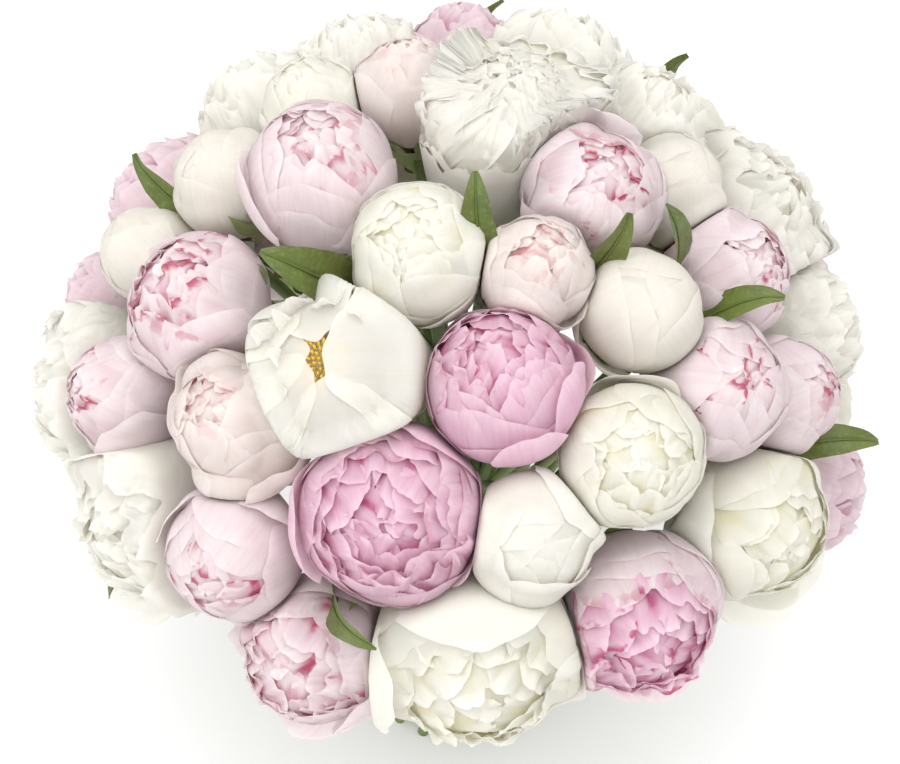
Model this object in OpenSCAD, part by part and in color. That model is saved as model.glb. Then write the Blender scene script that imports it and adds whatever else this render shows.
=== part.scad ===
// Hand-tied spiral posy of double peonies, standing on its cut stem ends.
// The heads sit on a round dome; every stem runs from its head through one binding.

/* [Dome] */
// Radius of the round dome that the tops of the heads follow
dome_radius = 210; // [190:1:230]
// Height of the dome's centre above the table
dome_height = 235; // [225:1:260]

/* [Stems] */
// Thickness of a stem
stem_d = 6; // [5:0.5:6.5]
// Height of the binding above the table
binding_height = 115; // [100:1:120]
// Distance between neighbouring stems where they cross in the binding
stem_pitch = 7.2; // [7:0.1:8]
// How far the stems slant round the bundle below the binding, against their distance from its middle
spiral = 1.4; // [1:0.1:2]
// Turn of a stem round the bundle from the binding up to its head, in degrees
stem_turn = 45; // [30:1:60]

/* [Heads] */
// Gap kept between neighbouring heads
head_gap = 0.8; // [0.6:0.1:2]
// Radius of the flat seat under a head
seat_r = 9; // [8:0.5:10]
// Width of the stamen tuft in the loose head
stamen_d = 24; // [18:1:28]
// Height of the stamen tuft
stamen_h = 12; // [8:1:14]

/* [Calyx] */
// Thickness of the calyx wall
calyx_wall = 1.4; // [1:0.1:2]
// Depth of the socket that takes the end of the stem
socket_depth = 5; // [4:0.5:7]

/* [Leaves] */
// Thickness of a leaf along its midrib
leaf_thick = 1.6; // [1.2:0.1:2.4]
// Thickness of a leaf stalk
stalk_d = 2.4; // [2:0.1:3]

/* [Binding] */
// Thickness of the twine
twine_d = 2.4; // [2:0.1:3]
// Turns of twine round the bundle
twine_turns = 6; // [4:1:8]

/* [Hidden] */
// Each head: number, kind, degrees round the dome from the front towards the right,
// degrees down from the top, width, and how far it stands above the dome.
HEADS = [
    [ 1, "blush",  -94, 20, 68,  4],
    [ 2, "ivory",  -19, 16, 58,  2],
    [ 3, "cream",   32, 21, 48, -2],
    [ 4, "pink",    11, 35, 66,  2],
    [ 5, "pink",   -12, 54, 80,  4],
    [ 6, "bud",     53, 34, 50,  0],
    [ 7, "ivory",   33, 50, 58,  4],
    [ 8, "blush",   82, 20, 58,  0],
    [ 9, "loose",  -29, 36, 66, -6],
    [10, "cream",  -45, 50, 56,  2],
    [11, "blush",  -72, 44, 60,  0],
    [12, "blush",  -37, 68, 56,  0],
    [13, "bud",   -104, 38, 46, -4],
    [14, "bud",    -95, 54, 44, -4],
    [15, "ivory", -130, 29, 48, -2],
    [16, "cream", -160, 21, 46, -4],
    [17, "open",   144, 14, 60,  0],
    [18, "open",   155, 41, 72,  4],
    [19, "rose",   179, 43, 48,  0],
    [20, "open",  -158, 44, 56,  0],
    [21, "open",  -136, 49, 60,  2],
    [22, "rose",  -116, 62, 56,  0],
    [23, "rose",  -104, 77, 54,  0],
    [24, "open",   -86, 79, 74,  6],
    [25, "blush",  -72, 64, 50,  0],
    [26, "bud",     99, 34, 46, -4],
    [27, "open",   125, 37, 54,  0],
    [28, "open",   112, 61, 74,  2],
    [29, "blush",   82, 45, 54, -2],
    [30, "blush",   57, 51, 58,  0],
    [31, "blush",   71, 63, 50, -2],
    [32, "ivory",   54, 75, 66,  2],
    [33, "open",    95, 74, 62,  0],
    [34, "blush",   29, 77, 68,  0],
    [35, "ivory",    3, 78, 78,  2],
    [36, "blush",  -22, 81, 60, -2],
    [37, "open",   -57, 77, 68,  0],
    [38, "rose",    76, 91, 58,  0],
    [39, "rose",   113, 82, 54,  0],
    [40, "ivory",  139, 66, 70,  2],
    [41, "blush",  163, 64, 66,  2],
    [42, "cream", -172, 65, 62,  0],
    [43, "pink",  -147, 70, 70,  2],
    [44, "open",  -124, 84, 66,  2],
    [45, "bud",    130, 87, 50,  0],
    [46, "pink",   150, 91, 72,  2],
    [47, "ivory",  172, 88, 70,  0],
    [48, "open",  -163, 90, 74,  2],
    [49, "blush", -143, 95, 66,  0],
    [50, "ivory",   98, 96, 60,  0],
    [51, "open",    13, 57, 50, -8],
];

// Short leaves between the heads: number of the head whose stem carries the leaf,
// degrees round and down at its root, the same at its tip, and its width.
UPPER_LEAVES = [
    [ 2, -38, 26,  -54, 29, 16],
    [ 3,   6, 22,   12, 10, 12],
    [ 3,  46, 28,   58, 24, 12],
    [29,  67, 38,   68, 27, 14],
    [30,  67, 39,   70, 46, 12],
    [32,  70, 69,   74, 76, 12],
    [36, -24, 67,  -10, 67, 10],
    [13, -95, 46, -105, 47, 10],
    [40, 142, 52,  136, 50, 12],
    [42, -178, 57,  172, 53, 12],
];
// Heads at the rim whose stems carry a leaf that reaches out below the dome
RIM_LEAF_HEADS = [50, 33, 39, 46, 47, 48, 44, 24];
// Width of a rim leaf, its turn round the dome from the head, and how far below the head it roots and ends
RIM_LEAF_W = 34;
RIM_LEAF_TURN = 13;
RIM_LEAF_ROOT = 12;
RIM_LEAF_TIP = 26;
// Depth below the dome of a rim leaf at its root and at its tip
RIM_LEAF_DEPTH = 45;
RIM_LEAF_DROP = 10;

// Stems in each ring of the bundle, from its middle outwards
RINGS = [1, 5, 11, 15, 19];
// Sides of a stem, and curve steps above the binding
STEM_SIDES = 8;
STEM_STEPS = 9;
// Straight length of a stem at its head, and the pull of its curve at each end
STEM_STRAIGHT = 8;
PULL_LOW = 0.40;
PULL_HIGH = 0.36;
// Steps of the outline of a head: below its widest level, above it, and up to the calyx rim
LOW_STEPS = 8;
HIGH_STEPS = 9;
CALYX_STEPS = 2;
// Clearance of the calyx wall from the head and of the socket from the stem
CALYX_GAP = 0.35;
SOCKET_GAP = 0.25;
// Floor between the head's seat and the stem's socket
FLOOR_T = 1.6;
// Steps along a leaf, and where its blade starts
LEAF_STEPS = 14;
BLADE_FROM = 0.45;
// How deep below the dome a leaf passes its root, and how far its tip stands above the dome
LEAF_ROOT_DEPTH = 8;
LEAF_TIP_RISE = 6;
// Slack of the twine round the bundle
TWINE_SLACK = 0.25;
// Share of the stem's curve at which a leaf stalk leaves it
STALK_AT = 0.8;

N = len(HEADS);
STEM_R = stem_d / 2;
CENTRE = [0, 0, dome_height];

// Colours of the kinds of head
KIND_COLOUR = [
    ["blush", [0.95, 0.83, 0.87]], ["ivory", [0.97, 0.95, 0.89]],
    ["cream", [0.97, 0.92, 0.86]], ["pink", [0.90, 0.68, 0.80]],
    ["bud", [0.96, 0.95, 0.87]], ["open", [0.97, 0.96, 0.95]],
    ["loose", [0.98, 0.96, 0.93]], ["rose", [0.92, 0.76, 0.84]],
];
// Depth of the kinds of head below their widest level and height above it, against the width
KIND_SHAPE = [
    ["blush", 0.60, 0.50], ["ivory", 0.60, 0.50], ["cream", 0.62, 0.52],
    ["pink", 0.58, 0.50], ["bud", 0.64, 0.54], ["open", 0.52, 0.44],
    ["loose", 0.50, 0.40], ["rose", 0.54, 0.46],
];
function look(table, key) = table[search([key], table)[0]];

// Direction from the dome's centre at a turn round the dome and an angle down from its top
function toward(az, pol) = [sin(pol) * sin(az), -sin(pol) * cos(az), cos(pol)];
function unit(v) = v / norm(v);
function digits(n) = n < 10 ? str("0", n) : str(n);

// The values of one head
function kind(h) = HEADS[h][1];
function azimuth(h) = HEADS[h][2];
function polar(h) = HEADS[h][3];
function width(h) = HEADS[h][4];
function axis_of(h) = toward(azimuth(h), polar(h));
function below(h) = width(h) * look(KIND_SHAPE, kind(h))[1];
function above(h) = width(h) * look(KIND_SHAPE, kind(h))[2];
function level(h) = dome_radius + HEADS[h][5] - above(h);
function middle(h) = axis_of(h) * level(h);
function seat_level(h) = level(h) - below(h);
function name_of(h) = str(kind(h), kind(h) == "bud" ? "_" : "_peony_", digits(HEADS[h][0]));
function head_index(number) = search([number], HEADS)[0];

// Widest radius of a head that stays clear of every neighbour
function clear_radius(h) = min([for (o = [0:N - 1]) if (o != h)
    min(width(h) / 2, norm(middle(h) - middle(o)) * width(h) / (width(h) + width(o)) - head_gap / 2)]);

// Outline of a head from its seat to its widest level, and on to its top
function low_outline(h, r) = [for (i = [0:LOW_STEPS])
    [seat_r + (r - seat_r) * sin(90 * i / LOW_STEPS), below(h) * i / LOW_STEPS]];
function high_outline(h, r) = [for (i = [1:HIGH_STEPS - 1])
    [r * cos(90 * i / HIGH_STEPS), below(h) + above(h) * sin(90 * i / HIGH_STEPS)]];

// Places a piece so that its own Z axis runs outwards through head h, from its seat
module on_head(h) {
    translate(CENTRE + axis_of(h) * seat_level(h)) rotate([0, polar(h), azimuth(h) - 90]) children();
}

// One head of petals
module head(h) {
    r = clear_radius(h);
    flat = kind(h) == "loose" ? stamen_d / 2 + 1 : 0;
    rise = [for (p = high_outline(h, r)) if (p[0] > flat) p];
    top = kind(h) == "loose" ? [[flat, stamen_seat(h)], [0, stamen_seat(h)]] : [[0, below(h) + above(h)]];
    color(look(KIND_COLOUR, kind(h))[1])
        on_head(h)
            rotate_extrude() polygon(concat([[0, 0]], low_outline(h, r), rise, top));
}
function stamen_seat(h) = below(h) + above(h) * sin(acos((stamen_d / 2 + 1) / clear_radius(h)));

// The tuft of stamens that stands on the open middle of a loose head
module stamens() {
    color([0.90, 0.78, 0.35])
        for (h = [0:N - 1]) if (kind(h) == "loose")
            on_head(h) translate([0, 0, stamen_seat(h)])
                rotate_extrude() polygon(concat([[0, 0]],
                    [for (i = [0:8]) [stamen_d / 2 * pow(cos(90 * i / 8), 0.6), stamen_h * sin(90 * i / 8)]]));
}

// The cups of sepals: each seats a head on its floor and holds its stem in a socket below
module calyces() {
    low = -FLOOR_T - socket_depth;
    hole = STEM_R + SOCKET_GAP;
    color([0.45, 0.55, 0.28])
        for (h = [0:N - 1]) {
            inner = [for (i = [0:CALYX_STEPS]) low_outline(h, clear_radius(h))[i] + [CALYX_GAP, 0]];
            outer = [for (i = [CALYX_STEPS:-1:0]) inner[i] + [calyx_wall, 0]];
            on_head(h) rotate_extrude() polygon(concat(
                [[hole, low], [hole, -FLOOR_T], [0, -FLOOR_T], [0, 0]], inner, outer, [[hole + 1.2, low]]));
        }
}

// Place of a stem in the bundle: rank of its head down the dome gives the ring, and rank
// round the dome within the ring gives the slot
function first_of(ring) = ring == 0 ? 0 : RINGS[ring - 1] + first_of(ring - 1);
RANK = [for (h = [0:N - 1])
    len([for (o = [0:N - 1]) if (polar(o) < polar(h) || (polar(o) == polar(h) && o < h)) 1])];
RING = [for (h = [0:N - 1]) max([for (g = [0:len(RINGS) - 1]) if (RANK[h] >= first_of(g)) g])];
SLOT = [for (h = [0:N - 1])
    len([for (o = [0:N - 1]) if (RING[o] == RING[h] && azimuth(o) < azimuth(h)) 1])];
function waist_turn(h) = 360 * (SLOT[h] + 0.5) / RINGS[RING[h]] - 180 - stem_turn;
function waist(h) = let (r = RING[h] * stem_pitch, a = waist_turn(h)) [r * sin(a), -r * cos(a), binding_height];

// A stem is straight from its foot through the binding, and then curves out to its head
function slant(h) = let (w = waist(h)) [-w[1], w[0], 0] * spiral / binding_height + [0, 0, 1];
function foot(h) = waist(h) - slant(h) * binding_height;
function stem_end(h) = CENTRE + axis_of(h) * (seat_level(h) - FLOOR_T);
function bezier(a, b, c, d, t) = a * pow(1 - t, 3) + 3 * b * t * pow(1 - t, 2) + 3 * c * pow(t, 2) * (1 - t) + d * pow(t, 3);
function bezier_way(a, b, c, d, t) = unit((b - a) * pow(1 - t, 2) + 2 * (c - b) * t * (1 - t) + (d - c) * pow(t, 2));
function controls(h) =
    let (w = waist(h), e = stem_end(h) - axis_of(h) * STEM_STRAIGHT, reach = norm(e - w))
    [w, w + unit(slant(h)) * reach * PULL_LOW, e - axis_of(h) * reach * PULL_HIGH, e];
function stem_point(h, t) = let (c = controls(h)) bezier(c[0], c[1], c[2], c[3], t);
function stem_way(h, t) = let (c = controls(h)) bezier_way(c[0], c[1], c[2], c[3], t);

// Ring of points across a path at p along way, flattened to half sizes a (towards side) and b
function section(p, way, side, a, b, n) =
    let (v = unit(cross(way, side)), u = cross(v, way))
    [for (k = [0:n - 1]) p + u * a * cos(360 * (k + 0.5) / n) + v * b * sin(360 * (k + 0.5) / n)];
// The same ring slid along the path onto the table
function on_table(ring, way) = [for (q = ring) let (s = q - way * q[2] / way[2]) [s[0], s[1], 0]];

// Closed skin over rings of n points
module skin(rings) {
    n = len(rings[0]);
    last = len(rings) - 1;
    polyhedron(
        points = [for (ring = rings) each ring],
        faces = concat(
            [[for (k = [0:n - 1]) k]],
            [for (i = [0:last - 1], k = [0:n - 1]) [i * n + k, (i + 1) * n + k, (i + 1) * n + (k + 1) % n]],
            [for (i = [0:last - 1], k = [0:n - 1]) [i * n + k, (i + 1) * n + (k + 1) % n, i * n + (k + 1) % n]],
            [[for (k = [n - 1:-1:0]) last * n + k]]
        )
    );
}

module stem(h) {
    side = [cos(azimuth(h)), sin(azimuth(h)), 0];
    way = unit(slant(h));
    curve = [for (i = [0:STEM_STEPS])
        section(stem_point(h, i / STEM_STEPS), stem_way(h, i / STEM_STEPS), side, STEM_R, STEM_R, STEM_SIDES)];
    end = section(stem_end(h), axis_of(h), side, STEM_R, STEM_R, STEM_SIDES);
    skin(concat([on_table(curve[0], way)], curve, [end]));
}
module stems(first, last) {
    color([0.42, 0.56, 0.28]) for (h = [0:N - 1]) if (RING[h] >= first && RING[h] <= last) stem(h);
}
module stems_inner() { stems(0, 2); }
module stems_middle() { stems(3, 3); }
module stems_outer() { stems(4, 4); }

// A leaf: a stalk from the side of a stem, widening into a blade that lies over the dome
module leaf(h, root_az, root_pol, tip_az, tip_pol, w, root_depth, tip_rise) {
    root = toward(root_az, root_pol);
    tip = toward(tip_az, tip_pol);
    way = stem_way(h, STALK_AT);
    out = CENTRE + root * (dome_radius - root_depth) - stem_point(h, STALK_AT);
    aside = unit(out - way * (out * way));
    start = stem_point(h, STALK_AT) + aside * (STEM_R + stalk_d / 2 + 0.1);
    a = [start, start + way * 20, CENTRE + root * (dome_radius - root_depth),
        CENTRE + tip * (dome_radius + tip_rise)];
    across = unit(cross(tip, root));
    skin([for (i = [0:LEAF_STEPS])
        let (t = i / LEAF_STEPS, s = max(0, (t - BLADE_FROM) / (1 - BLADE_FROM)),
            half = max(stalk_d / 2 * (1 - s), w / 2 * pow(sin(180 * pow(s, 0.8)), 0.8), 0.4),
            thick = max(stalk_d * (1 - s), leaf_thick * (1 - 0.6 * s)) / 2)
        section(bezier(a[0], a[1], a[2], a[3], t), bezier_way(a[0], a[1], a[2], a[3], t), across, half, thick, 6)]);
}
module upper_leaves() {
    color([0.36, 0.48, 0.20])
        for (f = UPPER_LEAVES)
            leaf(head_index(f[0]), f[1], f[2], f[3], f[4], f[5], LEAF_ROOT_DEPTH, LEAF_TIP_RISE);
}
module rim_leaves() {
    color([0.30, 0.44, 0.20])
        for (number = RIM_LEAF_HEADS)
            let (h = head_index(number), az = azimuth(h) + RIM_LEAF_TURN)
                leaf(h, az, polar(h) + RIM_LEAF_ROOT, az + RIM_LEAF_TURN / 2, polar(h) + RIM_LEAF_TIP,
                    RIM_LEAF_W, RIM_LEAF_DEPTH, -RIM_LEAF_DROP);
}

// The binding: closed wraps of twine pulled round the outer ring of stems
function bundle_radius(z) = let (turn = spiral * (z - binding_height) / binding_height)
    (len(RINGS) - 1) * stem_pitch * sqrt(1 + turn * turn) + STEM_R;
module binding_twine() {
    color([0.72, 0.60, 0.42])
        for (i = [0:twine_turns - 1])
            let (z = binding_height + (i - (twine_turns - 1) / 2) * (twine_d + 0.05))
                translate([0, 0, z]) rotate_extrude() translate([bundle_radius(z) + twine_d / 2 + TWINE_SLACK, 0]) circle(d = twine_d, $fn = 32);
}
// The knot: three tight turns that close the twine against the outside of the wraps
module twine_knot() {
    reach = bundle_radius(binding_height) + 2 * twine_d + 0.3;
    color([0.66, 0.54, 0.36])
        translate([0, -reach - twine_d, binding_height]) rotate([0, 90, 0])
            rotate_extrude() polygon(concat([[0, -1.6 * twine_d]],
                [for (i = [0:24]) [twine_d * (0.86 + 0.2 * abs(sin(180 * i / 8))), twine_d * 1.6 * (i / 12 - 1)]],
                [[0, 1.6 * twine_d]]));
}

for (h = [0:N - 1]) head(h);
stamens();
calyces();
stems_inner();
stems_middle();
stems_outer();
upper_leaves();
rim_leaves();
binding_twine();
twine_knot();
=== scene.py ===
"""Hand-tied peony posy: petals, leaves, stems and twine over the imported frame."""
import math

import bpy
import numpy as np
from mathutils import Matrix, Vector


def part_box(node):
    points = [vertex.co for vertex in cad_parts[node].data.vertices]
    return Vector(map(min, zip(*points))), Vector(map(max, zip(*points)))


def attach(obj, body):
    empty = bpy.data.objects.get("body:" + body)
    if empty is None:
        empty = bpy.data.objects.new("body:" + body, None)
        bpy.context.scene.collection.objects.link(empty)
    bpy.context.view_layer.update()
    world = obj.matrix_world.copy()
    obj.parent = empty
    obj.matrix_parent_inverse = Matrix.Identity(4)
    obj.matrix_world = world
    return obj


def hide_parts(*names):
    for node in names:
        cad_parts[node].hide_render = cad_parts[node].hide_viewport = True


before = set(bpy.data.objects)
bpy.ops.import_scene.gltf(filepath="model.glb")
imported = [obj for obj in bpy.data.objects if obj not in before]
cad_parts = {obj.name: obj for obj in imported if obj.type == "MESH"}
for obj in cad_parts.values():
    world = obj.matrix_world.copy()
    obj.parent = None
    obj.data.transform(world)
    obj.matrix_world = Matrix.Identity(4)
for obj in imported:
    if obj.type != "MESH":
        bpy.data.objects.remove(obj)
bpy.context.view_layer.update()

# ---------------------------------------------------------------- driving values
DOME_CENTRE = np.array([0.0, 0.0, 0.235])
VIEW_ELEVATION = 51.0
VIEW_DISTANCE = 1.15
LENS_MM = 89.8
VIEW_SHIFT = (-0.0078, 0.0389)
GOLDEN_ANGLE = math.radians(137.5)
TAU = 2 * math.pi
# Angle from a head's axis at which its petals start: beside the seat, or right over it
GUARD_START = 152.0
WHOLE_START = 176.0


def rng_for(number):
    """Random draws of one head, the same in every run."""
    return np.random.default_rng(1000 + number)


def smooth(a, b, x):
    t = np.clip((np.asarray(x, float) - a) / (b - a), 0.0, 1.0)
    return t * t * (3 - 2 * t)


def direction(azimuth, polar):
    """Unit vector at a turn from the front towards the right and an angle down from the top."""
    a, p = math.radians(azimuth), math.radians(polar)
    return np.array([math.sin(p) * math.sin(a), -math.sin(p) * math.cos(a), math.cos(p)])


def unit(v):
    return v / np.linalg.norm(v)


# ---------------------------------------------------------------- mesh gathering
class Sheets:
    """Sheets of faces gathered into one mesh, with the values that the materials read."""

    def __init__(self):
        self.points, self.quads, self.shade, self.depth, self.uv = [], [], [], [], []
        self.count = 0

    def grid(self, points, shade, uv, depth=0.0, closed=False):
        """Adds an nv x nu grid of points, each with four shade values, a UV and its depth in the folds."""
        nv, nu = points.shape[:2]
        index = np.arange(nv * nu).reshape(nv, nu) + self.count
        if closed:
            index = np.concatenate([index, index[:, :1]], axis=1)
        quads = np.stack([index[:-1, :-1], index[:-1, 1:], index[1:, 1:], index[1:, :-1]], axis=-1)
        self.quads.append(quads.reshape(-1, 4))
        self.points.append(points.reshape(-1, 3))
        self.shade.append(np.broadcast_to(shade, (nv, nu, 4)).reshape(-1, 4))
        self.depth.append(np.broadcast_to(depth, (nv, nu)).ravel())
        self.uv.append(uv.reshape(-1, 2))
        self.count += nv * nu

    def move(self, first, change):
        """Moves the points of every grid from number first on."""
        for i in range(first, len(self.points)):
            self.points[i] = change(self.points[i])

    def build(self, name, material, node, slot, place=None):
        """Makes the object that replaces a CAD node. place turns the points into the scene's frame."""
        points = np.concatenate(self.points)
        if place:
            points = place(points)
        quads = np.concatenate(self.quads)
        mesh = bpy.data.meshes.new(name)
        mesh.vertices.add(len(points))
        mesh.vertices.foreach_set("co", points.astype(np.float32).ravel())
        mesh.loops.add(quads.size)
        mesh.loops.foreach_set("vertex_index", quads.astype(np.int32).ravel())
        mesh.polygons.add(len(quads))
        mesh.polygons.foreach_set("loop_start", np.arange(0, quads.size, 4, dtype=np.int32))
        mesh.polygons.foreach_set("use_smooth", np.ones(len(quads), dtype=bool))
        mesh.update(calc_edges=True)
        layer = mesh.attributes.new("shade", "FLOAT_COLOR", "POINT")
        layer.data.foreach_set("color", np.concatenate(self.shade).astype(np.float32).ravel())
        layer = mesh.attributes.new("depth", "FLOAT", "POINT")
        layer.data.foreach_set("value", np.concatenate(self.depth).astype(np.float32))
        layer = mesh.uv_layers.new(name="UVMap")
        uv = np.concatenate(self.uv)[quads.ravel()]
        layer.data.foreach_set("uv", uv.astype(np.float32).ravel())
        mesh.materials.append(material)
        piece = bpy.data.objects.new(name, mesh)
        bpy.context.scene.collection.objects.link(piece)
        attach(piece, "root")
        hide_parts(node)


# ---------------------------------------------------------------- petals
def rows_and_columns(nu, nv):
    """Shares from base to tip, as a column, and from side to side, as a row."""
    return np.linspace(0, 1, nv)[:, None], np.linspace(-1, 1, nu)[None, :]


def tip_line(u, phase, length, teeth, notch, notch_at, notch_width):
    """How far up each column of a petal reaches, once its teeth and its notch are taken out."""
    if teeth > 0:
        saw = np.abs(np.sin(4.5 * math.pi * u + phase[0]))
        saw = saw + 0.6 * np.abs(np.sin(8.3 * math.pi * u + phase[1]))
        length = length - teeth * (1 - saw / 1.6)
    if notch > 0:
        length = length - notch * np.exp(-((u - notch_at) / notch_width) ** 2)
    return length


def wavy(u, v, phase, waves, start):
    """Waves of a petal's rim, which fade out below the share start of its height."""
    wave = (np.sin(waves * math.pi * u + phase[2] + 1.5 * v)
            + 0.5 * np.sin(2.1 * waves * math.pi * u + phase[3] - 2.0 * v)
            + 0.35 * np.sin(3.7 * waves * u + phase[4] + 5.0 * v))
    return wave, smooth(start, 1.0, v + 0.25 * np.abs(u) ** 3)


def add_petal(sheets, rng, points, azimuth, u, v, vv, across, fleck, tone, depth):
    """Turns a petal round its head's axis and stores it with its colour values."""
    turn = np.array([[math.cos(azimuth), -math.sin(azimuth)], [math.sin(azimuth), math.cos(azimuth)]])
    points[..., :2] = points[..., :2] @ turn.T
    edge = np.maximum(np.abs(u) ** 3 * smooth(0.2, 0.7, v), smooth(0.72, 1.0, v) * np.ones_like(u))
    flat = 0 * vv
    shade = np.stack([v + 0 * u, edge, fleck + flat, tone + flat], axis=-1)
    offset = rng.uniform(0, 10, 2)
    uv = np.stack([across + offset[0] + flat, vv * 2.0 + offset[1]], axis=-1)
    sheets.grid(points, shade, uv, depth)


def petal(sheets, rng, profile, width, azimuth, cup=1.0, round_tip=0.25, twist=0.0, curl=0.0,
          curl_from=0.7, ruffle=0.0, waves=3.0, ruffle_from=0.4, teeth=0.0, notch=0.0, notch_at=0.0,
          tone=0.5, under=None, nu=13, nv=15, lean=0.0):
    """One petal sheet in the frame of its head.

    profile: (n, 2) radius and height from base to tip; width: half width in metres from base to tip;
    cup: radius of its curve across, as a share of its distance from the head's axis.
    """
    v, u = rows_and_columns(nu, nv)
    phase = rng.uniform(0, TAU, 6)
    vv = v * tip_line(u, phase, 1 - round_tip * np.abs(u) ** 2.4, teeth, notch, notch_at, 0.16)
    steps = np.linspace(0, 1, len(profile))
    radius = np.interp(vv, steps, profile[:, 0])
    height = np.interp(vv, steps, profile[:, 1])
    half = np.interp(vv, np.linspace(0, 1, len(width)), width)
    size = half.max()
    bend = np.maximum(radius * cup, half * 0.62)
    angle = u * half / bend
    out = radius - bend + bend * np.cos(angle)
    across = bend * np.sin(angle) + lean * size * v ** 2
    points = np.stack([out, across, height + 0 * u], axis=-1)
    # the sheet's own normal, for everything that moves it in or out
    normal = np.cross(np.gradient(points, axis=1), np.gradient(points, axis=0))
    normal /= np.linalg.norm(normal, axis=-1, keepdims=True) + 1e-12
    wave, grow = wavy(u, v, phase, waves, ruffle_from)
    shift = size * (twist * u + curl * smooth(curl_from, 1.05, vv) ** 1.3 + ruffle * wave * grow)
    points = points + normal * shift[..., None]
    # Painted shade: points deep inside the head take the deep fold colour
    depth = under(points) if under else 0.0
    add_petal(sheets, rng, points, azimuth, u, v, vv, u * half / 0.02, 0.0, tone, depth)


def wrap(sheets, head, azimuth, tip, spread, q, start=GUARD_START, round_tip=0.30, twist=0.03, curl=0.0,
         curl_from=0.75, ruffle=0.012, waves=2.2, ruffle_from=0.5, teeth=0.0, notch=0.0, notch_at=0.0,
         fleck=0.0, tone=0.5, lean=0.0, nu=25, nv=25, under=None, deep_to=0.0):
    """One petal that lies on the surface of its head, from start to tip degrees from the head's axis.

    spread: half width in degrees as seen from the middle of the head; q: size against the head's
    surface; deep_to: how far up the petal the deeper tint with painted shade of the folds reaches.
    """
    rng = head.rng
    v, u = rows_and_columns(nu, nv)
    phase = rng.uniform(0, TAU, 6)
    length = 1 - round_tip * np.abs(u) ** 2.6
    length = length + 0.012 * np.sin(5.0 * u + phase[5]) + 0.008 * np.sin(11.0 * u + phase[4])
    vv = v * tip_line(u, phase, length, teeth, notch, notch_at, 0.14)
    polar = np.radians(start + (tip - start) * vv)
    shape = 0.40 + 0.60 * np.sin(math.pi / 2 * np.clip(vv / 0.85, 0, 1))
    shape = shape * (1 - 0.05 * smooth(0.8, 1.0, vv))
    aside = np.radians(spread) * (u * shape + lean * v ** 2)
    way = np.stack([np.sin(polar) * np.cos(aside), np.sin(aside), np.cos(polar) * np.cos(aside)], axis=-1)
    wave, grow = wavy(u, v, phase, waves, ruffle_from)
    far = q * head.reach(way)
    far = far + head.r * (twist * u * smooth(0.1, 0.6, v) + curl * smooth(curl_from, 1.05, vv) ** 1.4
                          + ruffle * wave * grow)
    points = way * far[..., None]
    # Painted shade with a deeper tint: points deep inside the head, and the covered lower part of the petal
    # up to deep_to, take the deep fold colour
    depth = under(points) if under else 0 * vv
    if deep_to:
        fold = v + 3.0 * ruffle * wave - 0.12 * u ** 2
        depth = np.maximum(depth, 1 - smooth(deep_to - 0.35, deep_to, fold))
    rim = np.maximum(np.abs(u) * smooth(0.15, 0.5, v), v)
    add_petal(sheets, rng, points, azimuth, u, v, vv, u * spread / 50, fleck * smooth(0.84, 0.98, rim),
              tone, depth)


def along(points, n=24):
    """Smooth curve of n points through a few given ones."""
    p = np.asarray(points, float)
    step = np.r_[0, np.cumsum(np.linalg.norm(np.diff(p, axis=0), axis=1))]
    t = np.linspace(0, step[-1], n)
    slope = np.gradient(p, step, axis=0)
    i = np.clip(np.searchsorted(step, t, side="right") - 1, 0, len(p) - 2)
    h = (step[i + 1] - step[i])[:, None]
    s = ((t - step[i]) / h[:, 0])[:, None]
    return ((2 * s ** 3 - 3 * s ** 2 + 1) * p[i] + (s ** 3 - 2 * s ** 2 + s) * h * slope[i]
            + (-2 * s ** 3 + 3 * s ** 2) * p[i + 1] + (s ** 3 - s ** 2) * h * slope[i + 1])


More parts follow.
